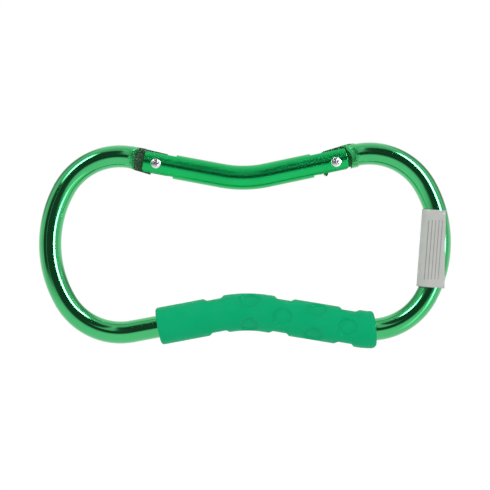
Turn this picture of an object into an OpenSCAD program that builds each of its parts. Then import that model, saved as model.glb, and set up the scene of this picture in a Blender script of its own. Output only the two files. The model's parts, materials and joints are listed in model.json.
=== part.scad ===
// Jumbo carabiner for carrying bags: a peanut-shaped loop of rod, closed by a V-bent sprung gate.
//
// Everything is drawn flat, with the loop's outline in the XY plane and its thickness along Z,
// and stand() then stands it up with the gate on top. The gate's hinge is on the right.
// Each end of the gate has a frame of its own: its origin is on the pin, +X runs along the gate
// towards the waist and +Y points into the loop.

/* [Loop] */
// Overall length of the loop, over the rod
overall_l = 165.6; // [136:0.2:200]
// Overall height of the loop, over the rod
overall_h = 79.8; // [66:0.2:84]
// Diameter of the rod
rod_d = 9; // [7.4:0.1:10]
// Bend radius of the four corners, on the rod's axis
corner_r = 25.6; // [22:0.2:28]
// Bend radius of the two flatter ends, on the rod's axis
side_r = 45.5; // [43:0.5:56]
// Slope of the lower arms, in degrees
spine_slope = 10; // [7:0.1:13]
// Bend radius of the lower waist, on the rod's axis
spine_r = 50; // [40:1:70]

/* [Gate] */
// Diameter of the gate bar
gate_d = 9.7; // [8.4:0.1:11]
// Slope of the gate's two halves and of the upper arms, in degrees
gate_slope = 11.2; // [8:0.1:14]
// Bend radius of the gate's middle, on its axis
gate_r = 46; // [38:1:60]
// How far the gate's axis lies inside the axis of the upper arms
gate_inset = 0.6; // [0.2:0.1:1]
// How far the gate opens, in degrees
gate_open = 25; // [18:1:27]
// Height of the gate across its trimmed ends
cheek_h = 8.2; // [7.4:0.1:9]
// Trimmed length of the gate at the hinge, from the pin
hinge_trim = 9.6; // [8.6:0.1:12]
// Trimmed length of the gate at the latch, from the pin
latch_trim = 7.5; // [6.8:0.1:10]

/* [Hinge and latch] */
// Diameter of both rivets' shanks
pin_d = 3; // [2.4:0.1:3.6]
// Diameter of the rivets' heads
head_d = 3.9; // [3.8:0.1:4.6]
// Thickness of the tang and the nose
tang_t = 4; // [3.2:0.1:4.8]
// Straight rod from the upper right corner to the hinge pin
hinge_run = 8.8; // [8.4:0.1:11]
// Straight rod from the upper left corner to the latch pin
latch_run = 10.3; // [9:0.1:13]
// How far the hinge pin lies inside the gate's axis
hinge_inset = 0.75; // [0.4:0.05:0.9]
// How far the latch pin lies inside the gate's axis
latch_inset = 0.2; // [0:0.05:0.5]

/* [Grip and label] */
// Diameter of the rubber grip
grip_d = 15; // [13:0.1:18]
// How far the grip reaches left of the middle, along the rod
grip_left = 35.6; // [24:0.2:36]
// How far the grip follows the lower right corner, in degrees
grip_turn = 14; // [4:1:20]
// Diameter of a dimple's rim
dimple_d = 8; // [6:0.1:9]
// Depth of a dimple
dimple_depth = 0.9; // [0.5:0.1:1.2]
// Length of the label along the rod
label_l = 31; // [24:1:34]

/* [Hidden] */
$fn = 96;
big = 60;  // longer than anything that a cutter has to pass through
deg_per_rad = 180 / PI;

// Finishes
rod_green = [0.25, 0.70, 0.42];
gate_green = [0.05, 0.66, 0.33];
grip_green = [0.04, 0.62, 0.42];
rivet_steel = [0.86, 0.86, 0.88];
spring_steel = [0.55, 0.56, 0.58];
plunger_brass = [0.72, 0.62, 0.36];
label_grey = [0.78, 0.79, 0.77];

// Clearances of the fits
rivet_fit = 0.02;   // rivet shank in the gate's cheeks, on the radius
pin_play = 0.08;    // rivet shank in the tang and the nose, on the radius
side_play = 0.2;    // each side of the tang in the gate's slot
bore_play = 0.1;    // plunger in its bore, on the radius
cam_gap = 0.03;     // plunger to the tang's heel
stop_gap = 0.05;    // plunger stem to the end of the bore, with the gate wide open
seat_gap = 0.02;    // spring to its two seats
sleeve_play = 0.05; // grip and label to the rod

// Each joint of two stretches of bar lies in a collar a hair wider than the bar, which fuses them
joint_l = 0.6;
joint_step = 0.1;

// Outline of the loop, on the rod's axis
half_l = (overall_l - rod_d) / 2;
half_h = (overall_h - rod_d) / 2;
corner_y = half_h - corner_r;
side_x = half_l - side_r;
corner_x = side_x + sqrt(pow(side_r - corner_r, 2) - pow(corner_y, 2));
side_half = atan2(corner_y, corner_x - side_x);
arm_end = [corner_x - corner_r * sin(gate_slope), corner_y + corner_r * cos(gate_slope)];
foot_end = [corner_x - corner_r * sin(spine_slope), -corner_y - corner_r * cos(spine_slope)];
spine_bend_y = foot_end[1] + foot_end[0] * tan(spine_slope) - spine_r / cos(spine_slope);
spine_end = [0, spine_bend_y] + spine_r * [sin(spine_slope), cos(spine_slope)];
foot_at = spine_r * spine_slope / deg_per_rad + norm(foot_end - spine_end);  // along the rod
lift = (grip_d - rod_d) / 4;  // puts the origin in the middle of the whole height

// Pins: hinge on the right, latch drawn on the right too and mirrored afterwards
along = [-cos(gate_slope), -sin(gate_slope)];
inward = [sin(gate_slope), -cos(gate_slope)];
hinge_off = gate_inset + hinge_inset;  // arm's axis to hinge pin
latch_off = gate_inset + latch_inset;  // arm's axis to latch pin
hinge_pin = arm_end + hinge_run * along + hinge_off * inward;
latch_pin = arm_end + latch_run * along + latch_off * inward;

// Gate
gate_foot_y = arm_end[1] - arm_end[0] * tan(gate_slope) - gate_inset / cos(gate_slope);
gate_bend_y = gate_foot_y + gate_r / cos(gate_slope);
bend_end_x = gate_r * sin(gate_slope);
hinge_tail = 4.6;  // gate past the hinge pin
latch_tail = 5;    // gate past the latch pin
tail_round = 0.8;
slot_w = tang_t + 2 * side_play;
hinge_slot = 7.5;  // depth of the slot, from the pin
latch_slot = 5.2;
head_seat = gate_d / 2 - 0.45;  // flat that a rivet's head sits on, from the middle plane
head_rise = 0.65;
head_dome = 0.35;

// Spring, plunger and the heel that pushes it: the plunger moves cam_rate for each radian
cam_rate = 1.4;
plunger_face = 6.2;
plunger_d = 4;
plunger_l = 4;
stem_d = 1.8;
bore_end = 26;
bore_d = plunger_d + 2 * bore_play;
stem_end = bore_end - stop_gap - cam_rate * gate_open / deg_per_rad;
spring_d = 3;  // to the middle of the wire
wire_d = 0.7;
spring_turns = 9;
spring_steps = 18;  // per turn
wire_sides = 8;

// Tang and nose
tang_start = 9;       // where the tang leaves the rod, from the pin
shoulder_r = 6.5;     // hinge shoulder
shoulder_flat = 5;
swell_r = rod_d / 2 + 0.45;
swell_l = 1.1;        // taper up to the swell, before the arm's straight stretch
swell_in = 0.5;       // and into that stretch
swell_root = rod_d / 2 - 0.3;  // where the taper starts, inside the rod
arm_box = 14;         // cutter beside an arm: wider than the arm, clear of all else
flat_t = rod_d - 0.8; // across the pressed flats beside the hinge
tang_half = swell_r - 0.12;
nose_half = rod_d / 2 - 0.12;
toe_r = 0.8;
ramp_r = 9;           // latch shoulder, at the nose and at the rod's surface
ramp_top_r = 11;
nose_tip = 4.6;
seat_r = pin_d / 2 + pin_play;
mouth = 6;            // depth that the notch is drawn to

// Grip
grip_over = max(0, grip_left - foot_at) / corner_r * deg_per_rad;  // turn past the left foot
grip_start = -11.8;   // first ring of dimples, along the rod from the middle
grip_pitch = 13.2;
dimple_rings = [[90, 270], [45:90:315], [0:90:270], [45:90:315], [0:90:270]];
dimple_flare = 1.6;   // a dimple's cone widens this much from its rim to twice its depth
dimple_floor_d = dimple_d - dimple_flare;
grip_edge = 1.2;

// Label: a folded sheet on the right end of the loop
label_t = 0.2;
label_tilt = 5;       // of its fold to the vertical, in degrees
label_mid_y = -3;
label_fold = rod_d / 2 + sleeve_play;
label_leaf = 5.1;     // flat leaf past the middle of the fold
label_back = 0.8;     // fold's middle inside the chord of the rod's axis
label_cut = 3.2;      // slant of its free edge to the fold, in degrees

function unit(a) = [cos(a), sin(a)];
function mirrored(p) = [-p[0], p[1]];

// Heel's outline at gate angle a: the envelope of the plunger's flat face, which meets the heel
// cam_rate to the side of the pin at every angle, so that the plunger moves at a constant rate.
function heel(a) = (plunger_face - cam_gap + cam_rate * a / deg_per_rad) * unit(a)
    + cam_rate * unit(a + 90);

// Distance of the rod's axis from the middle at height y, on the right end.
function end_x(y) = abs(y) < side_r * sin(side_half)
    ? side_x + sqrt(pow(side_r, 2) - pow(y, 2))
    : corner_x + sqrt(pow(corner_r, 2) - pow(abs(y) - corner_y, 2));

// Turn of the lower bar at distance t along it from the middle, and the point there.
function spine_turn(t) = max(-spine_slope, min(spine_slope, t / spine_r * deg_per_rad));
function spine_point(t) =
    let (a = spine_turn(t), rest = t - a * spine_r / deg_per_rad)
    [0, spine_bend_y] + spine_r * [sin(a), cos(a)] + rest * [cos(a), -sin(a)];

module stand() {
    translate([0, 0, lift]) rotate([90, 0, 0]) children();
}

module at_hinge() {
    translate(hinge_pin) rotate(180 + gate_slope) children();
}

module at_latch() {
    mirror([1, 0, 0]) translate(latch_pin) rotate(180 + gate_slope) children();
}

// Solid bend of a round bar, from angle a through the given sweep.
module bend(centre, r, a, sweep, d) {
    translate(centre) rotate(a) rotate_extrude(angle = sweep) translate([r, 0]) circle(d = d);
}

// Round bar along X from x0 to x1.
module bar(x0, x1, d) {
    translate([x0, 0, 0]) rotate([0, 90, 0]) cylinder(d = d, h = x1 - x0);
}

// Round bar between two points of the plane.
module link(p0, p1, d) {
    run = p1 - p0;
    translate(p0) rotate(atan2(run[1], run[0])) bar(0, norm(run), d);
}

// Collar over the joint of two stretches of bar that run at angle a.
module joint(point, a, d) {
    translate(point) rotate(a) bar(-joint_l / 2, joint_l / 2, d + joint_step);
}

// One end of the loop with its lower arm, on the right.
module lobe() {
    bend([corner_x, corner_y], corner_r, side_half, 90 + gate_slope - side_half, rod_d);
    bend([side_x, 0], side_r, -side_half, 2 * side_half, rod_d);
    bend([corner_x, -corner_y], corner_r, -90 - spine_slope, 90 + spine_slope - side_half, rod_d);
    link(spine_end, foot_end, rod_d);
    joint(arm_end, gate_slope, rod_d);
    for (side = [-1, 1])
        joint([side_x, 0] + side_r * unit(side * side_half), side * side_half + 90, rod_d);
    joint(foot_end, -spine_slope, rod_d);
    joint(spine_end, -spine_slope, rod_d);
}

// Round part of the loop, with the upper right arm swollen beside the hinge.
module loop() {
    lobe();
    mirror([1, 0, 0]) lobe();
    bend([0, spine_bend_y], spine_r, 90 - spine_slope, 2 * spine_slope, rod_d);
    at_hinge() translate([0, -hinge_off, 0]) {
        bar(-hinge_run, -shoulder_flat + 1, rod_d);
        bar(-hinge_run + swell_in, -shoulder_flat + 1, 2 * swell_r);
        translate([-hinge_run - swell_l, 0, 0]) rotate([0, 90, 0])
            cylinder(r1 = swell_root, r2 = swell_r, h = swell_l + swell_in);
    }
    at_latch() translate([0, -latch_off, 0]) bar(-latch_run, -ramp_r / 2, rod_d);
}

// Cuts that press the swollen end flat and hollow it out around the gate's end.
module hinge_cuts() {
    for (side = [0, 1]) mirror([0, 0, side])
        translate([-hinge_run - swell_in, -arm_box / 2, flat_t / 2]) cube([arm_box, arm_box, rod_d]);
    translate([-shoulder_flat, -arm_box / 2, -rod_d]) cube([arm_box, arm_box, 2 * rod_d]);
    translate([0, 0, -rod_d]) cylinder(r = shoulder_r, h = 2 * rod_d);
}

// Cuts that end the upper left arm in two sloping shoulders.
module latch_cuts() {
    slope = (ramp_top_r - ramp_r) / (rod_d / 2 - tang_t / 2);
    middle_r = ramp_r - slope * tang_t / 2;
    for (side = [0, 1]) mirror([0, 0, side])
        cylinder(r1 = middle_r, r2 = middle_r + slope * rod_d, h = rod_d);
}

module tang() {
    toe = heel(gate_open) - toe_r * unit(gate_open);
    linear_extrude(tang_t, center = true) difference() {
        polygon(concat(
            [
                [-tang_start, tang_half - hinge_off - 1],
                [-tang_start, -tang_half - hinge_off + 1],
                [-shoulder_r - 0.5, -tang_half - hinge_off],
                [-shoulder_flat, -tang_half - hinge_off],
                [hinge_slot - 3, -hinge_inset - cheek_h / 2 - 0.45],
                [plunger_face - 0.6, -hinge_inset - cheek_h / 2 + 0.5],
                [plunger_face - 0.3, cam_rate - 0.5],
            ],
            [for (a = [0:gate_open / 10:gate_open]) heel(a)],
            [for (a = [gate_open + 10:15:180]) toe + toe_r * unit(a)],
            [[toe[0] - toe_r - 0.5, toe[1] - 1.1], [-shoulder_flat, tang_half - hinge_off - 0.6]]
        ));
        circle(d = pin_d + 2 * pin_play);
    }
}

// Nose with the notch that the latch pin drops out of as the gate opens.
module nose() {
    linear_extrude(tang_t, center = true) difference() {
        polygon([
            [-latch_run, nose_half - latch_off - 1],
            [-latch_run, -nose_half - latch_off + 1],
            [-ramp_r + 1, -nose_half - latch_off],
            [nose_tip - 0.8, -latch_inset - cheek_h / 2 - 0.3],
            [nose_tip, -cheek_h / 2 + 0.5],
            [nose_tip, 1.4],
            [nose_tip - 1, 2.4],
            [0, 2.4],
            [-seat_r - 0.2, nose_half - latch_off + 1.05],
            [-ramp_r, nose_half - latch_off + 0.3],
        ]);
        circle(r = seat_r);
        polygon([[-seat_r, 0], [-seat_r - 0.2, mouth], [seat_r + 0.35 * mouth, mouth], [seat_r, 0]]);
    }
}

module frame() {
    color(rod_green) stand() {
        difference() {
            loop();
            at_hinge() hinge_cuts();
            at_latch() latch_cuts();
        }
        at_hinge() tang();
        at_latch() nose();
    }
}

// Half of the gate bar in the frame of its pin.
module gate_half(pin, inset, tail) {
    reach = (pin[0] - inset * inward[0] - bend_end_x) / cos(gate_slope);
    translate([0, -inset, 0]) {
        bar(-tail, reach, gate_d);
        joint([reach, 0], 0, gate_d);
    }
}

// Cuts at one end of the gate: trimmed height, rounded corners, slot, rivet hole and head seats.
module end_cuts(inset, tail, trim, slot) {
    for (side = [-1, 1]) translate([0, -inset, 0]) scale([1, side, 1]) {
        translate([-big, cheek_h / 2, -big / 2]) cube([big + trim, big, big]);
        translate([-tail, cheek_h / 2 - tail_round, -big / 2]) difference() {
            translate([-1, 0, 0]) cube([1 + tail_round, tail_round + 1, big]);
            translate([tail_round, 0, -1]) cylinder(r = tail_round, h = big + 2);
        }
    }
    translate([-big, -big / 2, -slot_w / 2]) cube([big + slot, big, slot_w]);
    translate([0, 0, -big / 2]) cylinder(d = pin_d + 2 * rivet_fit, h = big);
    for (side = [0, 1]) mirror([0, 0, side]) translate([0, 0, head_seat])
        cylinder(d = head_d + 0.2, h = big);
}

module gate() {
    color(gate_green) stand() difference() {
        union() {
            at_hinge() gate_half(hinge_pin, hinge_inset, hinge_tail);
            at_latch() gate_half(latch_pin, latch_inset, latch_tail);
            bend([0, gate_bend_y], gate_r, -90 - gate_slope, 2 * gate_slope, gate_d);
        }
        at_hinge() end_cuts(hinge_inset, hinge_tail, hinge_trim, hinge_slot);
        at_latch() end_cuts(latch_inset, latch_tail, latch_trim, latch_slot);
        at_hinge() bar(0, bore_end, bore_d);
    }
}

// Riveted pin with two domed heads.
module rivet() {
    dome_r = (pow(head_d / 2, 2) + pow(head_dome, 2)) / (2 * head_dome);
    color(rivet_steel) {
        cylinder(d = pin_d, h = 2 * head_seat, center = true);
        for (side = [0, 1]) mirror([0, 0, side]) intersection() {
            translate([0, 0, head_seat]) cylinder(d = head_d, h = 2 * head_rise);
            translate([0, 0, head_seat + head_rise - dome_r]) sphere(r = dome_r);
        }
    }
}

module hinge_rivet() {
    stand() at_hinge() rivet();
}

module latch_rivet() {
    stand() at_latch() rivet();
}

// Coil spring: a ring of wire_sides points at each step, swept along the helix and closed by caps.
module gate_spring() {
    start = plunger_face + plunger_l + seat_gap + wire_d / 2;
    length = bore_end - seat_gap - wire_d / 2 - start;
    rings = spring_turns * spring_steps;
    points = [
        for (i = [0:rings], j = [0:wire_sides - 1])
            let (a = 360 * i / spring_steps, b = 360 * j / wire_sides,
                 r = spring_d / 2 + wire_d / 2 * cos(b))
            [start + length * i / rings + wire_d / 2 * sin(b), r * cos(a), r * sin(a)]
    ];
    sides = [
        for (i = [0:rings - 1], j = [0:wire_sides - 1])
            let (k = (j + 1) % wire_sides, a = i * wire_sides, b = a + wire_sides)
            each [[a + j, b + k, b + j], [a + j, a + k, b + k]]
    ];
    first = [for (j = [wire_sides - 1:-1:0]) j];
    last = [for (j = [0:wire_sides - 1]) rings * wire_sides + j];
    color(spring_steel) stand() at_hinge() polyhedron(points, concat(sides, [first, last]));
}

module spring_plunger() {
    color(plunger_brass) stand() at_hinge() {
        bar(plunger_face, plunger_face + plunger_l, plunger_d);
        bar(plunger_face + plunger_l, stem_end, stem_d);
    }
}

// Lower bar from left_x of the grip to its right end, at any diameter, run on by extra at its ends.
module lower_bar(d, extra) {
    turn = grip_turn + extra / corner_r * deg_per_rad;
    if (grip_over > 0) {
        mirror([1, 0, 0]) {
            bend([corner_x, -corner_y], corner_r, -90 - spine_slope, turn - grip_turn + grip_over, d);
            joint(foot_end, -spine_slope, d);
        }
        link(mirrored(foot_end), mirrored(spine_end), d);
    } else {
        link(spine_point(-grip_left) - extra * unit(spine_slope), mirrored(spine_end), d);
    }
    joint(mirrored(spine_end), spine_slope, d);
    bend([0, spine_bend_y], spine_r, 90 - spine_slope, 2 * spine_slope, d);
    joint(spine_end, -spine_slope, d);
    link(spine_end, foot_end, d);
    joint(foot_end, -spine_slope, d);
    bend([corner_x, -corner_y], corner_r, -90 - spine_slope, turn, d);
}

// Dimples around the grip at distance t along it, one at each angle from its front.
module dimple_ring(t, angles) {
    for (a = angles)
        translate(spine_point(t)) rotate(-spine_turn(t)) rotate([a, 0, 0])
            translate([0, 0, grip_d / 2 - dimple_depth])
                cylinder(d1 = dimple_floor_d, d2 = dimple_d + dimple_flare, h = 2 * dimple_depth);
}

// Cut that bevels the edge of the grip's end, which lies at the origin and faces -X.
module end_bevel() {
    rotate([0, 90, 0]) difference() {
        translate([0, 0, -grip_edge]) cylinder(d = grip_d + grip_edge, h = 2.4 * grip_edge);
        translate([0, 0, -grip_edge])
            cylinder(d1 = grip_d - 4 * grip_edge, d2 = grip_d + 2 * grip_edge, h = 3 * grip_edge);
    }
}

// Bevelled end of the grip on the lower right corner, after the given turn.
module grip_corner(turn) {
    translate([corner_x, -corner_y] + corner_r * unit(-90 - spine_slope + turn))
        rotate(180 + turn - spine_slope) end_bevel();
}

module grip_sleeve() {
    color(grip_green) stand() difference() {
        lower_bar(grip_d, 0);
        lower_bar(rod_d + 2 * sleeve_play, 1);
        for (ring = [0:len(dimple_rings) - 1])
            dimple_ring(grip_start + ring * grip_pitch, dimple_rings[ring]);
        if (grip_over > 0) mirror([1, 0, 0]) grip_corner(grip_over);
        else translate(spine_point(-grip_left)) rotate(spine_slope) end_bevel();
        grip_corner(grip_turn);
    }
}

// Outline of the label's fold, open towards +X past its free edge.
module fold_outline(r) {
    circle(r = r);
    translate([0, -r]) square([label_leaf + 1, 2 * r]);
}

// Folded label: a half-round fold on the inner side of the rod and two flat leaves, whose free
// edge slants.
module paper_label() {
    fold_x = end_x(label_l / 2) - label_back;
    color(label_grey) stand() translate([fold_x, label_mid_y, 0]) rotate(-label_tilt) difference() {
        rotate([90, 0, 0]) linear_extrude(label_l, center = true) difference() {
            fold_outline(label_fold + label_t);
            fold_outline(label_fold);
        }
        translate([label_leaf, 0, 0]) rotate(label_cut)
            translate([0, -label_l, -label_l / 2]) cube([label_l, 2 * label_l, label_l]);
    }
}

frame();
gate();
hinge_rivet();
latch_rivet();
gate_spring();
spring_plunger();
grip_sleeve();
paper_label();
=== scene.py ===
"""Finish of a jumbo carabiner: anodised loop and gate, rubber grip, folded paper label."""
import json
import logging
import math
from dataclasses import dataclass, field
from enum import Enum
from typing import Any, Optional, Union

import bmesh
import bpy
from mathutils import Matrix, Vector

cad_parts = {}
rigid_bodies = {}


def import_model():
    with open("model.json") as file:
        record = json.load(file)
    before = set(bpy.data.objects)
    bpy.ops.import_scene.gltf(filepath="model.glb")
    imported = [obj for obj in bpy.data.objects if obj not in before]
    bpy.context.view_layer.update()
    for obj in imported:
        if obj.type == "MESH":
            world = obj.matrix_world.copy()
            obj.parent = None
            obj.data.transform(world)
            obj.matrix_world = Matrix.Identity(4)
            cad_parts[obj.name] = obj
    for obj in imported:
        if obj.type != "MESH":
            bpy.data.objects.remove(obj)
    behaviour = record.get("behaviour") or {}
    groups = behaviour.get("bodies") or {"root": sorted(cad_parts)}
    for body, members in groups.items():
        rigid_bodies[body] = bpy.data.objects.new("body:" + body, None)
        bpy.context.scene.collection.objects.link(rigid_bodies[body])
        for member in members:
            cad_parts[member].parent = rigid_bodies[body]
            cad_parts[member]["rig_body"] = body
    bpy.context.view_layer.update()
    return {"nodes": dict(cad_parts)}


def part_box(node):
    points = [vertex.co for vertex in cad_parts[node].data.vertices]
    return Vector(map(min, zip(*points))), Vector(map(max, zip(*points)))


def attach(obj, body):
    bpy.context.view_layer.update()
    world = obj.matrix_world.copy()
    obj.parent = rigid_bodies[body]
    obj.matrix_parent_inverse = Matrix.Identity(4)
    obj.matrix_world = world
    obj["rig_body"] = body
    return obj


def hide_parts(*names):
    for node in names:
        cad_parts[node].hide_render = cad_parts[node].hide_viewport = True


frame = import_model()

MM = 0.001
LOG = logging.getLogger("carabiner")

Triple = tuple[float, float, float]
Colour = Triple
Number = Union["Value", float]


class Axis(Enum):
    """A direction of the part's own frame."""

    X = 0
    Y = 1
    Z = 2


def smooth_step(low: float, high: float, value: float) -> float:
    """Ease from 0 at low to 1 at high.

    Args:
        low: Where the ease starts.
        high: Where the ease ends.
        value: The number to ease.

    Returns:
        A share from 0 to 1.
    """
    share = min(1.0, max(0.0, (value - low) / (high - low)))
    return share * share * (3.0 - 2.0 * share)


# ------------------------------------------------------------------ shader graphs


class Value:
    """A number in a shader graph; Python's operators add the Math nodes."""

    def __init__(self, graph: "Graph", socket: bpy.types.NodeSocket) -> None:
        """Wrap one socket.

        Args:
            graph: The graph that the socket is in.
            socket: The output that carries the number.
        """
        self.graph = graph
        self.socket = socket

    def math(self, operation: str, *others: Number) -> "Value":
        """Add one Math node with this number first.

        Args:
            operation: The Math node's operation.
            others: What goes into its other inputs.

        Returns:
            The node's result.
        """
        return self.graph.math(operation, self, *others)

    def __add__(self, other: Number) -> "Value":
        """Sum of both."""
        return self.math("ADD", other)

    def __radd__(self, other: Number) -> "Value":
        """Sum of both."""
        return self.math("ADD", other)

    def __sub__(self, other: Number) -> "Value":
        """Difference of both."""
        return self.math("SUBTRACT", other)

    def __rsub__(self, other: Number) -> "Value":
        """Difference of both, the other way round."""
        return self.graph.math("SUBTRACT", other, self)

    def __mul__(self, other: Number) -> "Value":
        """Product of both."""
        return self.math("MULTIPLY", other)

    def __rmul__(self, other: Number) -> "Value":
        """Product of both."""
        return self.math("MULTIPLY", other)

    def __truediv__(self, other: Number) -> "Value":
        """Quotient of both."""
        return self.math("DIVIDE", other)

    def __abs__(self) -> "Value":
        """Its size without its sign."""
        return self.math("ABSOLUTE")

    def ease(self, low: float, high: float, start: float = 0.0, end: float = 1.0) -> "Value":
        """Map the number smoothly from one range to another.

        Args:
            low: Value that maps to start.
            high: Value that maps to end.
            start: Result at and before low.
            end: Result at and past high.

        Returns:
            The eased number.
        """
        made = self.graph.node(
            "ShaderNodeMapRange",
            {"interpolation_type": "SMOOTHSTEP"},
            {"Value": self, "From Min": low, "From Max": high, "To Min": start, "To Max": end},
        )
        return Value(self.graph, made.outputs["Result"])


class Graph:
    """The node tree of one material or of the world."""

    def __init__(self, tree: bpy.types.NodeTree) -> None:
        """Empty a node tree.

        Args:
            tree: The tree to fill.
        """
        self.tree = tree
        tree.nodes.clear()

    def node(
        self,
        kind: str,
        settings: Optional[dict[str, Any]] = None,
        inputs: Optional[dict[Union[str, int], Any]] = None,
    ) -> bpy.types.Node:
        """Add a node, set it up and fill its inputs.

        Args:
            kind: The node's type.
            settings: Its properties by name.
            inputs: Numbers, colours, sockets or Values by socket name or index.

        Returns:
            The new node.
        """
        made = self.tree.nodes.new(kind)
        for name, setting in (settings or {}).items():
            setattr(made, name, setting)
        for name, given in (inputs or {}).items():
            self.feed(made.inputs[name], given)
        return made

    def feed(self, socket: bpy.types.NodeSocket, given: Any) -> None:
        """Set or link one input.

        Args:
            socket: The input.
            given: A Value, an output socket, a number or a colour.
        """
        if isinstance(given, Value):
            self.tree.links.new(given.socket, socket)
        elif isinstance(given, bpy.types.NodeSocket):
            self.tree.links.new(given, socket)
        elif isinstance(given, tuple) and socket.type == "RGBA":
            socket.default_value = (*given, 1.0)
        else:
            socket.default_value = given

    def math(self, operation: str, *terms: Number) -> Value:
        """Add one Math node.

        Args:
            operation: The Math node's operation.
            terms: What goes into its inputs, in order.

        Returns:
            The node's result.
        """
        made = self.node("ShaderNodeMath", {"operation": operation}, dict(enumerate(terms)))
        return Value(self, made.outputs[0])

    def place(self) -> tuple[Value, Value, Value]:
        """Coordinates on the part, in metres.

        Returns:
            The X, Y and Z of the shaded point.
        """
        return self.split(self.node("ShaderNodeTexCoord").outputs["Object"])

    def split(self, vector: bpy.types.NodeSocket) -> tuple[Value, Value, Value]:
        """Take a vector apart.

        Args:
            vector: The vector's socket.

        Returns:
            Its X, Y and Z.
        """
        parts = self.node("ShaderNodeSeparateXYZ", inputs={0: vector})
        return tuple(Value(self, parts.outputs[axis.value]) for axis in Axis)

    def stretched(self, scale: Triple, turn: float = 0.0) -> bpy.types.NodeSocket:
        """Coordinates on the part, stretched for a pattern with a direction.

        Args:
            scale: Factor along each axis.
            turn: Turn about Y first, in radians.

        Returns:
            The vector's socket.
        """
        where = self.node("ShaderNodeTexCoord").outputs["Object"]
        made = self.node(
            "ShaderNodeMapping",
            inputs={"Vector": where, "Rotation": (0.0, turn, 0.0), "Scale": scale},
        )
        return made.outputs["Vector"]

    def noise(
        self,
        size: float,
        detail: float = 3.0,
        roughness: float = 0.5,
        vector: Optional[bpy.types.NodeSocket] = None,
    ) -> Value:
        """Add noise with blobs of about one size.

        Args:
            size: Size of a blob in metres, before any stretch.
            detail: Number of finer layers.
            roughness: How strong the finer layers are.
            vector: Coordinates, if not the plain ones.

        Returns:
            The noise, around 0.5.
        """
        if vector is None:
            vector = self.node("ShaderNodeTexCoord").outputs["Object"]
        made = self.node(
            "ShaderNodeTexNoise",
            inputs={
                "Vector": vector,
                "Scale": 1.0 / size,
                "Detail": detail,
                "Roughness": roughness,
            },
        )
        return Value(self, made.outputs[0])

    def mix(self, factor: Number, first: Any, second: Any) -> bpy.types.NodeSocket:
        """Blend two colours.

        Args:
            factor: 0 for the first colour, 1 for the second.
            first: A colour or its socket.
            second: A colour or its socket.

        Returns:
            The blended colour's socket.
        """
        made = self.node(
            "ShaderNodeMix",
            {"data_type": "RGBA"},
            {"Factor": factor, 6: first, 7: second},
        )
        return made.outputs[2]

    def mix_vectors(self, factor: Number, first: Any, second: Any) -> bpy.types.NodeSocket:
        """Blend two vectors.

        Args:
            factor: 0 for the first vector, 1 for the second.
            first: The first vector's socket.
            second: The second vector's socket.

        Returns:
            The blended vector's socket.
        """
        made = self.node(
            "ShaderNodeMix",
            {"data_type": "VECTOR"},
            {"Factor": factor, 4: first, 5: second},
        )
        return made.outputs[1]

    def join(self, x: Number, y: Number, z: Number) -> bpy.types.NodeSocket:
        """Make a vector of unit length.

        Args:
            x: Its share along X.
            y: Its share along Y.
            z: Its share along Z.

        Returns:
            The vector's socket.
        """
        made = self.node("ShaderNodeCombineXYZ", inputs={0: x, 1: y, 2: z})
        unit = self.node("ShaderNodeVectorMath", {"operation": "NORMALIZE"}, {0: made.outputs[0]})
        return unit.outputs[0]

    def bump(
        self,
        height: Number,
        distance: float,
        strength: float = 1.0,
        normal: Optional[bpy.types.NodeSocket] = None,
    ) -> bpy.types.NodeSocket:
        """Turn a height into a normal.

        Args:
            height: Height in shares of the distance.
            distance: Height in metres where the height is 1.
            strength: Share of the effect.
            normal: Normal to start from, if not the surface's own.

        Returns:
            The normal's socket.
        """
        inputs: dict[Union[str, int], Any] = {
            "Height": height,
            "Distance": distance,
            "Strength": strength,
        }
        if normal is not None:
            inputs["Normal"] = normal
        return self.node("ShaderNodeBump", inputs=inputs).outputs["Normal"]

    def soft_edges(self, radius: float) -> bpy.types.NodeSocket:
        """Round every edge a little in the shading.

        Args:
            radius: Radius of the rounding, in metres.

        Returns:
            The normal's socket.
        """
        return self.node("ShaderNodeBevel", {"samples": 6}, {"Radius": radius}).outputs["Normal"]

    def surface(self, **inputs: Any) -> None:
        """Finish a material with one Principled shader.

        Args:
            inputs: Its sockets, with underscores for spaces.
        """
        named = {name.replace("_", " "): given for name, given in inputs.items()}
        shader = self.node("ShaderNodeBsdfPrincipled", inputs=named)
        self.node("ShaderNodeOutputMaterial", inputs={"Surface": shader.outputs[0]})


def new_graph(name: str) -> tuple[bpy.types.Material, Graph]:
    """Make an empty material.

    Args:
        name: The material's name.

    Returns:
        The material and its graph.
    """
    material = bpy.data.materials.new(name)
    material.use_nodes = True
    return material, Graph(material.node_tree)


# ---------------------------------------------------------------------- finishes


@dataclass(frozen=True)
class Pin:
    """Place of a rivet, in the plane of the loop."""

    x: float
    z: float

    @staticmethod
    def of(node: str) -> "Pin":
        """Find a rivet's centre.

        Args:
            node: The rivet's name.

        Returns:
            Its place.
        """
        low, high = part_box(node)
        middle = (low + high) / 2
        return Pin(middle.x, middle.z)


@dataclass(frozen=True)
class Seam:
    """Place where two stretches of bar meet, on the right half of the loop's plane."""

    point: Vector
    angle: float


@dataclass(frozen=True)
class Plate:
    """A dull plate around a pin, coloured dark partly as painted shade of the gate's slot, and the
    pressed metal next to it.
    """

    pin: Pin
    reach: float  # of the dull plate, from the pin
    share: float  # of dullness and painted slot shade on it
    shoulder: float  # end of the satin shoulder, from the pin
    shoulder_share: float  # of satin on it
    swell: float  # where the pressed metal starts to fall away, from the pin


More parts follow.
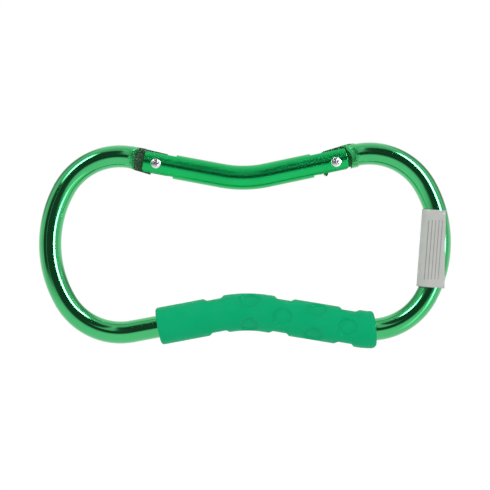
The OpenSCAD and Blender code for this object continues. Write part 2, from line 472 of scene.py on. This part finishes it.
@dataclass(frozen=True)
class AnodisedAluminium:
    """Bright dyed aluminium, drawn along its length; the plates in the slots are dull, and their dark
    colour is partly their own matte finish and partly painted shade of the slots.
    """

    name: str
    dye: Colour
    deep_dye: Colour
    gloss: float
    clear_coat: float
    seams: tuple[Seam, ...]
    lift: float
    plates: tuple[Plate, ...] = ()
    # Colours of the plates in the slots: partly their own dark matte finish, partly painted shade
    # between the gate's cheeks.
    plate_dye_and_slot_shade: Colour = (0.010, 0.050, 0.018)
    plate_mottle_and_slot_shade: Colour = (0.045, 0.135, 0.065)
    plate_half: float = 2.15 * MM
    edge_radius: float = 0.16 * MM
    seam_half: float = 0.45 * MM
    bar_reach: float = 6.5 * MM
    swell_fall: float = 0.14
    plate_gloss: float = 0.45
    shoulder_gloss: float = 0.34
    cloud_size: float = 9 * MM
    streak_size: float = 1 * MM
    grain_size: float = 0.45 * MM
    mottle_size: float = 0.9 * MM

    def make(self) -> bpy.types.Material:
        """Make the material.

        Returns:
            The material.
        """
        material, graph = new_graph(self.name)
        dull_shaded_plate, satin, fall = self._masks(graph)
        cloud = graph.noise(self.cloud_size, 2.0).ease(0.3, 0.75)
        streaks = graph.noise(self.streak_size, 3.0, 0.6, graph.stretched((0.12, 1.0, 1.0)))
        grain = graph.noise(self.grain_size, 4.0, 0.7)
        coarse = graph.noise(self.mottle_size, 5.0, 0.75).ease(0.4, 0.68)
        colour = graph.mix(cloud * 0.45, self.dye, self.deep_dye)
        # Painted shade: the plates in the slots get a dark mottled colour, partly their own matte
        # finish and partly the shade of the slot.
        colour = graph.mix(dull_shaded_plate, colour, graph.mix(coarse, self.plate_dye_and_slot_shade, self.plate_mottle_and_slot_shade))
        roughness = self.gloss + 0.05 * streaks + 0.03 * cloud
        roughness = roughness * (1.0 - satin) + self.shoulder_gloss * satin
        roughness = roughness * (1.0 - dull_shaded_plate) + (self.plate_gloss + 0.3 * grain) * dull_shaded_plate
        shaped = self._smooth_seams(graph, graph.soft_edges(self.edge_radius))
        rounded = graph.bump(fall, 1.0 * MM, 1.0, shaped)
        draw = graph.bump(streaks, 0.004 * MM, 0.35, rounded)
        normal = graph.bump(coarse * dull_shaded_plate + grain * dull_shaded_plate * 0.5, 0.16 * MM, 1.0, draw)
        graph.surface(
            Base_Color=colour,
            Metallic=1.0 - dull_shaded_plate * 0.8 - satin * 0.35,
            Roughness=roughness,
            Coat_Weight=(1.0 - dull_shaded_plate) * self.clear_coat,
            Coat_Roughness=0.06,
            Normal=normal,
        )
        return material

    def _masks(self, graph: Graph) -> tuple[Value, Value, Value]:
        """Find the dull plates around the pins, whose dark colour is partly painted slot shade, and
        the pressed shoulders next to them.

        Args:
            graph: The material's graph.

        Returns:
            1 on a dull plate, which also carries its painted slot shade, 1 on a shoulder, and how far
            a shoulder rounds off, in millimetres.
        """
        x, y, z = graph.place()
        # Mask of the dull plates; it also darkens them with painted slot shade.
        dull_shaded_plate = 0.0 * y
        satin = 0.0 * y
        fall = 0.0 * y
        for plate in self.plates:
            across = x - plate.pin.x
            up = z - plate.pin.z
            away = graph.math("SQRT", across * across + up * up)
            near = away.ease(plate.reach, plate.reach + 0.15 * MM, plate.share, 0.0)
            dull_shaded_plate = graph.math("MAXIMUM", dull_shaded_plate, near)
            beside = away.ease(plate.shoulder, plate.shoulder + 0.8 * MM, plate.shoulder_share, 0.0)
            satin = graph.math("MAXIMUM", satin, beside)
            rest = graph.math("MAXIMUM", (plate.swell - away) / MM, 0.0)
            fall = fall - rest * rest * self.swell_fall
        dull_shaded_plate = dull_shaded_plate * abs(y).ease(self.plate_half, self.plate_half + 0.1 * MM, 1.0, 0.0)
        return dull_shaded_plate, satin * (1.0 - dull_shaded_plate), fall * (1.0 - dull_shaded_plate)

    def _smooth_seams(self, graph: Graph, normal: bpy.types.NodeSocket) -> bpy.types.NodeSocket:
        """Shade the bar straight across its seams.

        Args:
            graph: The material's graph.
            normal: The surface's normal.

        Returns:
            The normal, pointing away from the bar's axis at each seam.
        """
        x, y, z = graph.place()
        for seam in self.seams:
            run = math.cos(seam.angle), math.sin(seam.angle)
            across = abs(x) - seam.point.x
            up = z - (seam.point.y + self.lift)
            along = across * run[0] + up * run[1]
            out_x = across - along * run[0]
            out_z = up - along * run[1]
            radius = graph.math("SQRT", out_x * out_x + y * y + out_z * out_z)
            here = abs(along).ease(self.seam_half, self.seam_half + 0.1 * MM, 1.0, 0.0)
            here = here * radius.ease(self.bar_reach, self.bar_reach + 0.1 * MM, 1.0, 0.0)
            radial = graph.join(out_x * graph.math("SIGN", x), y, out_z)
            normal = graph.mix_vectors(here, normal, radial)
        return normal


@dataclass(frozen=True)
class BareMetal:
    """Undyed metal: rivets, spring and plunger."""

    name: str
    colour: Colour
    worn: Colour
    gloss: float
    edge_radius: float = 0.15 * MM
    wear_size: float = 0.8 * MM
    grain_size: float = 0.2 * MM

    def make(self) -> bpy.types.Material:
        """Make the material.

        Returns:
            The material.
        """
        material, graph = new_graph(self.name)
        wear = graph.noise(self.wear_size, 4.0, 0.6).ease(0.35, 0.7)
        fine = graph.noise(self.grain_size, 3.0, 0.6)
        graph.surface(
            Base_Color=graph.mix(wear, self.colour, self.worn),
            Metallic=1.0,
            Roughness=self.gloss + 0.12 * wear + 0.05 * fine,
            Normal=graph.bump(fine + 2.0 * wear, 0.02 * MM, 0.6, graph.soft_edges(self.edge_radius)),
        )
        return material


@dataclass(frozen=True)
class MouldedRubber:
    """Soft satin rubber with a fine moulded grain and a pale bloom on it."""

    name: str
    colour: Colour
    bloom: Colour
    patch_size: float = 7 * MM
    grain_size: float = 0.25 * MM
    dust_size: float = 1.6 * MM

    def make(self) -> bpy.types.Material:
        """Make the material.

        Returns:
            The material.
        """
        material, graph = new_graph(self.name)
        patches = graph.noise(self.patch_size, 3.0, 0.55).ease(0.35, 0.8)
        grain = graph.noise(self.grain_size, 3.0, 0.6)
        dust = graph.noise(self.dust_size, 5.0, 0.7).ease(0.55, 0.8)
        graph.surface(
            Base_Color=graph.mix(patches * 0.3 + dust * 0.12, self.colour, self.bloom),
            Roughness=0.46 + 0.1 * grain + 0.08 * dust,
            Specular_IOR_Level=0.06,
            Sheen_Weight=0.1,
            Sheen_Roughness=0.35,
            Sheen_Tint=(0.7, 1.0, 0.85),
            Normal=graph.bump(grain + 0.5 * dust, 0.02 * MM, 0.5),
        )
        return material


@dataclass(frozen=True)
class RuledPaper:
    """Uncoated label paper with plain ruled lines along it."""

    name: str
    colour: Colour
    shade: Colour
    ink: Colour
    first_line: float
    line_pitch: float
    lines: int
    line_low: float
    line_high: float
    lean: float
    front: float
    fibre_size: float = 0.5 * MM
    cloud_size: float = 5 * MM

    def make(self) -> bpy.types.Material:
        """Make the material.

        Returns:
            The material.
        """
        material, graph = new_graph(self.name)
        fibres = graph.noise(self.fibre_size, 5.0, 0.7, graph.stretched((1.0, 1.0, 0.35), 0.3))
        cloud = graph.noise(self.cloud_size, 2.0).ease(0.3, 0.7)
        colour = graph.mix(cloud * 0.5 + fibres * 0.3, self.colour, self.shade)
        graph.surface(
            Base_Color=graph.mix(self._ruling(graph) * (0.35 + 0.3 * fibres), colour, self.ink),
            Roughness=0.62 + 0.12 * fibres,
            Specular_IOR_Level=0.35,
            Normal=graph.bump(fibres, 0.015 * MM, 0.7),
        )
        return material

    def _ruling(self, graph: Graph) -> Value:
        """Draw the ruled lines on the front leaf.

        Args:
            graph: The material's graph.

        Returns:
            1 on a line and 0 elsewhere.
        """
        x, y, z = graph.place()
        across = x - z * self.lean
        wave = graph.math("PINGPONG", across - self.first_line, self.line_pitch / 2)
        line = wave.ease(0.16 * MM, 0.26 * MM, 1.0, 0.0)
        last = self.first_line + self.line_pitch * (self.lines - 0.5)
        inside = across.ease(self.first_line - 0.5 * MM, self.first_line - 0.4 * MM)
        inside = inside * across.ease(last, last + 0.1 * MM, 1.0, 0.0)
        inside = inside * z.ease(self.line_low, self.line_low + 0.2 * MM)
        inside = inside * z.ease(self.line_high - 0.2 * MM, self.line_high, 1.0, 0.0)
        return line * inside * y.ease(self.front, self.front + 0.2 * MM, 1.0, 0.0)


# ----------------------------------------------------------------------- helpers


def make_piece(name: str, mesh: bmesh.types.BMesh, material: bpy.types.Material) -> bpy.types.Object:
    """Turn a bmesh into a smooth-shaded object at the origin.

    Args:
        name: The piece's name.
        mesh: Its finished mesh, in the part's frame; it is freed.
        material: Its finish.

    Returns:
        The new object.
    """
    data = bpy.data.meshes.new(name)
    mesh.to_mesh(data)
    mesh.free()
    data.shade_smooth()
    data.materials.append(material)
    piece = bpy.data.objects.new(name, data)
    bpy.context.scene.collection.objects.link(piece)
    return piece


def report(piece: bpy.types.Object, body: str) -> None:
    """Log one finished piece.

    Args:
        piece: The piece.
        body: The body it rides on.
    """
    LOG.info("%s: %d faces, rides on %s", piece.name, len(piece.data.polygons), body)


# ------------------------------------------------------------------ sub-assemblies


@dataclass
class LoopAxis:
    """Axis of the loop's bar, worked out from its box, and the path of the lower bar along it."""

    rod_d: float = 9 * MM
    corner_r: float = 25.6 * MM
    side_r: float = 45.5 * MM
    slope: float = math.radians(10)
    waist_r: float = 50 * MM
    gate_slope: float = math.radians(11.2)
    gate_r: float = 46 * MM
    gate_d: float = 9.7 * MM
    lift: float = 1.5 * MM

    def __post_init__(self) -> None:
        """Work out the outline from the loop's box."""
        low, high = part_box("frame")
        half_l = (high.x - low.x - self.rod_d) / 2
        half_h = self.lift - low.z - self.rod_d / 2
        corner_up = half_h - self.corner_r
        side_x = half_l - self.side_r
        reach = math.sqrt((self.side_r - self.corner_r) ** 2 - corner_up**2)
        self.corner = Vector((side_x + reach, -corner_up))
        self.foot = self.corner - self.corner_r * Vector((math.sin(self.slope), math.cos(self.slope)))
        rise = self.foot.y + self.foot.x * math.tan(self.slope)
        self.waist_y = rise - self.waist_r / math.cos(self.slope)
        self.waist_half = self.waist_r * self.slope
        waist_end = self._on_waist(self.slope)
        self.foot_at = self.waist_half + (self.foot - waist_end).length
        arm_end = Vector((-math.sin(self.gate_slope), math.cos(self.gate_slope)))
        side_half = math.atan2(corner_up, reach)
        self.seams = (
            Seam(Vector((self.corner.x, corner_up)) + self.corner_r * arm_end, self.gate_slope),
            Seam(self._on_side(side_x, side_half), math.pi / 2 + side_half),
            Seam(self._on_side(side_x, -side_half), math.pi / 2 - side_half),
            Seam(self.foot, -self.slope),
            Seam(waist_end, -self.slope),
        )

    def gate_seam(self) -> Seam:
        """Find where the gate's bend meets its straight halves.

        Returns:
            The seam of the right half.
        """
        low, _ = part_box("gate")
        centre = low.z - self.lift + self.gate_d / 2 + self.gate_r
        drop = Vector((math.sin(self.gate_slope), -math.cos(self.gate_slope)))
        return Seam(Vector((0.0, centre)) + self.gate_r * drop, self.gate_slope)

    def _on_side(self, side_x: float, angle: float) -> Vector:
        """Point of the right end's flat bend, at an angle from its middle."""
        return Vector((side_x + self.side_r * math.cos(angle), self.side_r * math.sin(angle)))

    def _on_waist(self, turn: float) -> Vector:
        """Point of the waist bend after a turn from its middle."""
        return Vector((self.waist_r * math.sin(turn), self.waist_y + self.waist_r * math.cos(turn)))

    def at(self, along: float) -> tuple[Vector, float]:
        """Find a point of the axis.

        Args:
            along: Distance along the bar from its middle, positive to the right.

        Returns:
            The point in the plane of the loop and the bar's direction there, in radians.
        """
        turn = max(-self.slope, min(self.slope, along / self.waist_r))
        if along <= self.foot_at:
            rest = along - turn * self.waist_r
            direction = Vector((math.cos(turn), -math.sin(turn)))
            return self._on_waist(turn) + rest * direction, -turn
        angle = -math.pi / 2 - self.slope + (along - self.foot_at) / self.corner_r
        point = self.corner + self.corner_r * Vector((math.cos(angle), math.sin(angle)))
        return point, angle + math.pi / 2

    def bend(self, point: Vector) -> Vector:
        """Carry a point of a straight bar along X to its place around the bent one.

        Args:
            point: A point with X along the bar.

        Returns:
            The point in the part's frame.
        """
        centre, direction = self.at(point.x)
        return Vector(
            (
                centre.x - point.z * math.sin(direction),
                point.y,
                centre.y + point.z * math.cos(direction) + self.lift,
            )
        )


@dataclass(frozen=True)
class Dimple:
    """One round recess in the grip."""

    along: float
    angle: float
    widen: float


@dataclass
class Grip:
    """Rubber grip moulded over the lower bar, with rings of round dimples."""

    bar: LoopAxis
    diameter: float = 15 * MM
    left: float = 35.6 * MM
    turn: float = math.radians(14)
    play: float = 0.05 * MM
    left_round: float = 1.2 * MM
    right_round: float = 1.8 * MM
    rim: float = 4.1 * MM
    floor: float = 3.35 * MM
    depth: float = 0.9 * MM
    first_ring: float = -11.8 * MM
    ring_pitch: float = 13.2 * MM
    tall: float = 0.72  # narrows the girth of the dimples on the upper and lower side
    cell: float = 0.3 * MM
    rubber: Colour = (0.0010, 0.415, 0.168)
    bloom: Colour = (0.012, 0.45, 0.20)
    rings: tuple[tuple[int, ...], ...] = (
        (90, 270),
        (45, 135, 225, 315),
        (0, 90, 180, 270),
        (45, 135, 225, 315),
        (0, 90, 180, 270),
    )
    dimples: list[Dimple] = field(default_factory=list)

    def __post_init__(self) -> None:
        """List the dimples."""
        for number, ring in enumerate(self.rings):
            along = self.first_ring + number * self.ring_pitch
            for angle in ring:
                widen = self.tall if angle in (90, 270) else 1.0
                self.dimples.append(Dimple(along, math.radians(angle), widen))

    def build(self) -> bpy.types.Object:
        """Model the grip and dress it.

        Returns:
            The grip.
        """
        mesh = self._tube()
        for vert in mesh.verts:
            radius = math.hypot(vert.co.y, vert.co.z)
            if radius > self.diameter / 2 - self.depth:
                share = (radius - self.sink(vert.co)) / radius
                vert.co.y *= share
                vert.co.z *= share
            vert.co = self.bar.bend(vert.co)
        finish = MouldedRubber("grip_rubber", self.rubber, self.bloom)
        grip = make_piece("grip", mesh, finish.make())
        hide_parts("grip_sleeve")
        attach(grip, "frame_body")
        return grip

    def _tube(self) -> bmesh.types.BMesh:
        """Spin the straight tube that the grip is bent from.

        Returns:
            A closed tube along X, in small cells on its outside.
        """
        inner = self.bar.rod_d / 2 + self.play
        outer = self.diameter / 2
        right = self.bar.foot_at + self.turn * self.bar.corner_r
        mesh = bmesh.new()
        corners = [(-self.left, inner), (-self.left, outer), (right, outer), (right, inner)]
        verts = [mesh.verts.new((x, -r, 0.0)) for x, r in corners]
        for start, end in zip(verts, verts[1:] + verts[:1]):
            mesh.edges.new((start, end))
        for vert, size in ((verts[1], self.left_round), (verts[2], self.right_round)):
            bmesh.ops.bevel(
                mesh,
                geom=[vert],
                offset=size,
                offset_type="OFFSET",
                segments=8,
                profile=0.5,
                affect="VERTICES",
                material=-1,
            )
        for edge in [edge for edge in mesh.edges if edge.calc_length() > 10 * self.cell]:
            outside = all(abs(abs(vert.co.y) - outer) < 0.001 * MM for vert in edge.verts)
            step = self.cell if outside else 4 * self.cell
            cuts = int(edge.calc_length() / step)
            bmesh.ops.subdivide_edges(mesh, edges=[edge], cuts=cuts)
        steps = int(math.tau * outer / self.cell)
        bmesh.ops.spin(
            mesh,
            geom=mesh.verts[:] + mesh.edges[:],
            cent=(0.0, 0.0, 0.0),
            axis=(1.0, 0.0, 0.0),
            angle=math.tau,
            steps=steps,
            use_merge=True,
        )
        bmesh.ops.remove_doubles(mesh, verts=mesh.verts, dist=0.001 * MM)
        bmesh.ops.recalc_face_normals(mesh, faces=mesh.faces)
        return mesh

    def sink(self, point: Vector) -> float:
        """Depth of the grip's surface at a point of the straight tube.

        Args:
            point: A point on the outside of the tube.

        Returns:
            How far the surface lies below the tube's, in metres.
        """
        angle = math.atan2(-point.z, -point.y)
        deepest = 0.0
        for dimple in self.dimples:
            along = point.x - dimple.along
            if abs(along) > self.rim:
                continue
            turn = (angle - dimple.angle + math.pi) % math.tau - math.pi
            away = math.hypot(along, turn * self.diameter / 2 * dimple.widen)
            deepest = max(deepest, self.depth * (1.0 - smooth_step(self.floor, self.rim, away)))
        return deepest


@dataclass
class Label:
    """Paper label folded round the inner side of the loop's right end."""

    length: float = 31 * MM
    sheet: float = 0.2 * MM
    cells: int = 48
    fold_steps: int = 20
    slant: float = math.radians(3.2)
    tilt: float = math.radians(5)
    leaf: float = 5.1 * MM
    spare: float = 1 * MM  # what the slanting cut takes off the leaves
    leaf_steps: int = 12
    ripple: float = 0.12 * MM
    first_line: float = 72.6 * MM
    line_pitch: float = 1.35 * MM
    lines: int = 5
    foot_margin: float = 3.5 * MM
    head_margin: float = 4.5 * MM
    front_depth: float = 1.2 * MM

    def finish(self) -> RuledPaper:
        """Choose the paper and rule its front leaf.

        Returns:
            The label's finish.
        """
        low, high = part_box("paper_label")
        return RuledPaper(
            name="label_paper",
            colour=(0.56, 0.57, 0.54),
            shade=(0.50, 0.51, 0.49),
            ink=(0.10, 0.10, 0.11),
            first_line=self.first_line,
            line_pitch=self.line_pitch,
            lines=self.lines,
            line_low=low.z + self.foot_margin,
            line_high=high.z - self.head_margin,
            lean=math.tan(self.tilt),
            front=low.y + self.front_depth,
        )

    def build(self) -> bpy.types.Object:
        """Model the label and dress it.

        Returns:
            The label.
        """
        low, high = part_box("paper_label")
        radius = (high.y - low.y - self.sheet) / 2
        middle = (low + high) / 2
        mesh = bmesh.new()
        fold = mesh.verts.new((0.0, -radius, -self.length / 2))
        turned = bmesh.ops.spin(
            mesh,
            geom=[fold],
            cent=(0.0, 0.0, 0.0),
            axis=(0.0, 0.0, -1.0),
            angle=math.pi,
            steps=self.fold_steps,
        )
        for end in (mesh.verts[:][0], turned["geom_last"][0]):
            self._extend(mesh, end)
        step = self.length / self.cells
        edges = mesh.edges[:]
        for _ in range(self.cells):
            made = bmesh.ops.extrude_edge_only(mesh, edges=edges)
            verts = [item for item in made["geom"] if isinstance(item, bmesh.types.BMVert)]
            edges = [item for item in made["geom"] if isinstance(item, bmesh.types.BMEdge)]
            bmesh.ops.translate(mesh, verts=verts, vec=(0.0, 0.0, step))
        cut = Vector((math.cos(self.slant), 0.0, math.sin(self.slant)))
        bmesh.ops.bisect_plane(
            mesh,
            geom=mesh.verts[:] + mesh.edges[:] + mesh.faces[:],
            plane_co=(self.leaf, 0.0, 0.0),
            plane_no=cut,
            clear_outer=True,
        )
        for vert in mesh.verts:
            self._ripple(vert)
        turn = Matrix.Rotation(self.tilt, 4, "Y")
        bmesh.ops.transform(mesh, matrix=turn, verts=mesh.verts)
        bmesh.ops.recalc_face_normals(mesh, faces=mesh.faces)
        bmesh.ops.solidify(mesh, geom=mesh.faces[:], thickness=self.sheet)
        lowest = min(vert.co.x for vert in mesh.verts)
        shift = Vector((low.x - lowest, middle.y, middle.z))
        bmesh.ops.translate(mesh, verts=mesh.verts, vec=shift)
        label = make_piece("label", mesh, self.finish().make())
        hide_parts("paper_label")
        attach(label, "frame_body")
        return label

    def _extend(self, mesh: bmesh.types.BMesh, end: bmesh.types.BMVert) -> None:
        """Run the sheet's outline on from the fold to the free edge.

        Args:
            mesh: The mesh of the outline.
            end: End of the fold.
        """
        step = (self.leaf + self.spare) / self.leaf_steps
        for _ in range(self.leaf_steps):
            made = bmesh.ops.extrude_vert_indiv(mesh, verts=[end])
            end = made["verts"][0]
            end.co.x += step

    def _ripple(self, vert: bmesh.types.BMVert) -> None:
        """Let the leaves wave a little towards their free edge.

        Args:
            vert: A point of the sheet.
        """
        free = max(0.0, vert.co.x) / self.leaf
        along = vert.co.z / self.length
        side = math.copysign(1.0, vert.co.y)
        wave = math.sin(7.0 * along + side) + 0.5 * math.sin(17.0 * along + 2.0 * side)
        vert.co.y += side * free * free * self.ripple * wave


@dataclass
class Metalwork:
    """The pieces of metal: loop, gate, rivets, spring and plunger."""

    axis: LoopAxis
    gate_green: Colour = (0.008, 0.50, 0.125)
    gate_deep: Colour = (0.005, 0.42, 0.10)
    loop_green: Colour = (0.035, 0.50, 0.15)
    loop_deep: Colour = (0.022, 0.43, 0.12)
    steel: Colour = (0.95, 0.95, 0.96)
    worn_steel: Colour = (0.75, 0.75, 0.78)
    wire: Colour = (0.42, 0.42, 0.44)
    worn_wire: Colour = (0.25, 0.24, 0.24)
    brass: Colour = (0.62, 0.44, 0.17)
    worn_brass: Colour = (0.4, 0.27, 0.1)

    def dress(self) -> None:
        """Give every metal node its finish."""
        # A plate's share sets its dullness and how much painted slot shade it gets.
        hinge = Plate(
            pin=Pin.of("hinge_rivet"),
            reach=6.6 * MM,
            share=0.85,
            shoulder=9.2 * MM,
            shoulder_share=0.7,
            swell=9.4 * MM,
        )
        latch = Plate(
            pin=Pin.of("latch_rivet"),
            reach=9.1 * MM,
            share=1.0,
            shoulder=11.0 * MM,
            shoulder_share=1.0,
            swell=0.0,
        )
        steel = BareMetal("polished_rivet_steel", colour=self.steel, worn=self.worn_steel, gloss=0.2)
        finishes = {
            "frame": AnodisedAluminium(
                "loop_anodised_green",
                dye=self.loop_green,
                deep_dye=self.loop_deep,
                gloss=0.07,
                clear_coat=1.0,
                seams=self.axis.seams,
                lift=self.axis.lift,
                plates=(hinge, latch),
            ),
            "gate": AnodisedAluminium(
                "gate_anodised_green",
                dye=self.gate_green,
                deep_dye=self.gate_deep,
                gloss=0.21,
                clear_coat=0.15,
                seams=(self.axis.gate_seam(),),
                lift=self.axis.lift,
            ),
            "hinge_rivet": steel,
            "latch_rivet": steel,
            "gate_spring": BareMetal("spring_wire", colour=self.wire, worn=self.worn_wire, gloss=0.22),
            "spring_plunger": BareMetal(
                "plunger_brass", colour=self.brass, worn=self.worn_brass, gloss=0.22
            ),
        }
        for node, finish in finishes.items():
            made = bpy.data.materials.get(finish.name) or finish.make()
            piece = frame["nodes"][node]
            piece.data.materials.clear()
            piece.data.materials.append(made)
            report(piece, piece["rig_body"])


# ------------------------------------------------------------------------- studio


@dataclass(frozen=True)
class Lamp:
    """One soft lamp far from the part."""

    name: str
    direction: Triple
    strength: float
    spread: float


@dataclass(frozen=True)
class Band:
    """A range of angles with soft ends, in degrees."""

    low: tuple[float, float]
    high: tuple[float, float]

    def over(self, angle: Value) -> Value:
        """Mask an angle: 1 inside the band and 0 outside it."""
        return angle.ease(*self.low) * angle.ease(*self.high, 1.0, 0.0)


@dataclass
class Studio:
    """Camera, floor, lights and what the metal mirrors."""

    distance: float = 0.547
    camera_up: float = 0.7 * MM
    lens: float = 100.0
    sensor: float = 36.0
    roll: float = math.radians(-0.65)
    floor_z: float = -0.16
    floor_half: float = 6.0
    floor_paint: float = 0.9
    floor_glow: float = 1.1
    floor_glow_share: float = 0.75
    lamps: tuple[Lamp, ...] = (
        Lamp("key", (-0.45, -0.75, 0.9), 0.55, 60),
        Lamp("fill", (0.7, -0.8, 0.1), 0.3, 70),
        Lamp("low", (0.1, -0.6, -0.8), 0.55, 80),
        Lamp("back", (0.2, 0.9, 0.6), 0.4, 70),
    )
    plain_light: float = 0.72
    wall_light: float = 0.74
    table_light: float = 0.97
    room_dark: float = 0.9
    room_rise: Band = Band((-16.0, -6.0), (48.0, 68.0))
    room_side: Band = Band((-68.0, -60.0), (36.0, 44.0))
    room_taper: float = 24.0
    window_top: tuple[float, float] = (46.0, 55.0)
    right_window: Band = Band((41.0, 45.0), (51.0, 56.0))
    right_light: float = 30.0
    right_glow: float = 1.2
    left_window: Band = Band((-54.0, -50.0), (-44.0, -40.0))
    left_light: float = 18.0
    left_lean: float = 0.25
    chink_side: Band = Band((-34.0, -32.0), (-30.0, -28.0))
    chink_rise: Band = Band((-20.0, -8.0), (20.0, 30.0))
    chink_light: float = 0.35
    veil_side: tuple[float, float] = (2.5, 5.0)
    veil_rise: Band = Band((12.0, 20.0), (56.0, 70.0))
    veil_light: float = 0.7
    back_light: float = 0.95
    screen_dark: float = 0.55
    screen_rise: Band = Band((4.0, 16.0), (48.0, 66.0))
    screen_side: Band = Band((22.0, 32.0), (72.0, 84.0))

    def build(self) -> None:
        """Set up the whole studio."""
        self._camera()
        self._floor()
        self._lamps()
        self._world()
        bpy.context.scene.view_settings.view_transform = "Standard"

    def _camera(self) -> None:
        """Put the camera in front of the loop."""
        data = bpy.data.cameras.new("camera")
        data.lens = self.lens
        data.sensor_width = self.sensor
        data.clip_start = 0.01
        camera = bpy.data.objects.new("camera", data)
        facing = Matrix.Rotation(math.pi / 2, 4, "X") @ Matrix.Rotation(self.roll, 4, "Z")
        camera.matrix_world = Matrix.Translation((0.0, -self.distance, self.camera_up)) @ facing
        bpy.context.scene.collection.objects.link(camera)
        bpy.context.scene.camera = camera

    def _floor(self) -> None:
        """Lay a plain pale floor below the part."""
        mesh = bmesh.new()
        bmesh.ops.create_grid(mesh, x_segments=2, y_segments=2, size=self.floor_half)
        bmesh.ops.translate(mesh, verts=mesh.verts, vec=(0.0, 0.0, self.floor_z))
        material, graph = new_graph("studio_floor")
        path = graph.node("ShaderNodeLightPath")
        paint = graph.node("ShaderNodeBsdfDiffuse", inputs={"Color": (self.floor_paint,) * 3})
        white = graph.node(
            "ShaderNodeEmission", inputs={"Color": (1.0, 1.0, 1.0), "Strength": self.floor_glow}
        )
        seen = Value(graph, path.outputs["Is Camera Ray"]) * self.floor_glow_share
        both = graph.node(
            "ShaderNodeMixShader", inputs={0: seen, 1: paint.outputs[0], 2: white.outputs[0]}
        )
        graph.node("ShaderNodeOutputMaterial", inputs={"Surface": both.outputs[0]})
        floor = make_piece("floor", mesh, material)
        floor.visible_glossy = False

    def _lamps(self) -> None:
        """Hang soft lamps above, left and right; the metal mirrors the studio instead of them."""
        for lamp in self.lamps:
            data = bpy.data.lights.new(lamp.name, "SUN")
            data.energy = lamp.strength
            data.angle = math.radians(lamp.spread)
            hung = bpy.data.objects.new(lamp.name, data)
            hung.rotation_mode = "QUATERNION"
            hung.rotation_quaternion = Vector(lamp.direction).to_track_quat("Z", "Y")
            hung.visible_glossy = False
            bpy.context.scene.collection.objects.link(hung)

    def _world(self) -> None:
        """White to the eye, plain light on dull surfaces, and a studio that the metal mirrors."""
        world = bpy.data.worlds.new("studio")
        world.use_nodes = True
        bpy.context.scene.world = world
        graph = Graph(world.node_tree)
        x, y, z = graph.split(graph.node("ShaderNodeTexCoord").outputs["Generated"])
        rise = graph.math("ARCSINE", z) * math.degrees(1.0)
        side = graph.math("ARCTAN2", x, abs(y)) * math.degrees(1.0)
        front = y.ease(-0.02, 0.02, 1.0, 0.0)
        mirrored = self._mirrored_front(rise, side) * front
        mirrored = mirrored + self._mirrored_back(rise, side) * (1.0 - front)
        path = graph.node("ShaderNodeLightPath")
        camera = Value(graph, path.outputs["Is Camera Ray"])
        glossy = Value(graph, path.outputs["Is Glossy Ray"])
        level = self.plain_light * (1.0 - glossy) + mirrored * glossy
        strength = level * (1.0 - camera) + camera
        shown = graph.node("ShaderNodeBackground", inputs={"Strength": strength})
        graph.feed(shown.inputs["Color"], (1.0, 1.0, 1.0))
        graph.node("ShaderNodeOutputWorld", inputs={"Surface": shown.outputs[0]})

    def _mirrored_front(self, rise: Value, side: Value) -> Value:
        """Studio before the part: a pale table, and a dark room between two bright windows.

        Args:
            rise: Direction's angle above the horizon, in degrees.
            side: Direction's angle to the right, in degrees.

        Returns:
            The brightness that a mirror shows there.
        """
        light = rise.ease(-30.0, -10.0, self.table_light, self.wall_light)
        narrowed = side - self.room_taper * rise.ease(20.0, 36.0)
        dark = self.room_rise.over(rise) * narrowed.ease(*self.room_side.low)
        dark = dark * side.ease(*self.room_side.high, 1.0, 0.0)
        right = self.right_glow + self.right_light * rise.ease(-30.0, 10.0)
        right = right * self.right_window.over(side) * rise.ease(-60.0, -40.0)
        leaning = side - self.left_lean * (rise - 15.0)
        left = self.left_window.over(leaning) * self.left_light * rise.ease(20.0, 40.0)
        windows = (left + right) * rise.ease(*self.window_top, 1.0, 0.0)
        chink = self.chink_side.over(side) * self.chink_rise.over(rise) * self.chink_light
        veil = abs(side).ease(*self.veil_side, 1.0, 0.0) * self.veil_rise.over(rise) * self.veil_light
        return light * (1.0 - dark * self.room_dark) + windows + chink + veil

    def _mirrored_back(self, rise: Value, side: Value) -> Value:
        """Studio behind the part: pale, with a grey screen on each side.

        Args:
            rise: Direction's angle above the horizon, in degrees.
            side: Direction's angle to the right, in degrees.

        Returns:
            The brightness that a mirror shows there.
        """
        grey = self.screen_rise.over(rise) * self.screen_side.over(abs(side))
        return self.back_light - self.screen_dark * grey


def main() -> None:
    """Build every piece and the studio."""
    logging.basicConfig(level=logging.INFO, format="%(name)s: %(message)s")
    axis = LoopAxis()
    Studio().build()
    Metalwork(axis).dress()
    for piece in (Grip(axis).build(), Label().build()):
        report(piece, "frame_body")


if __name__ == "__main__":
    main()
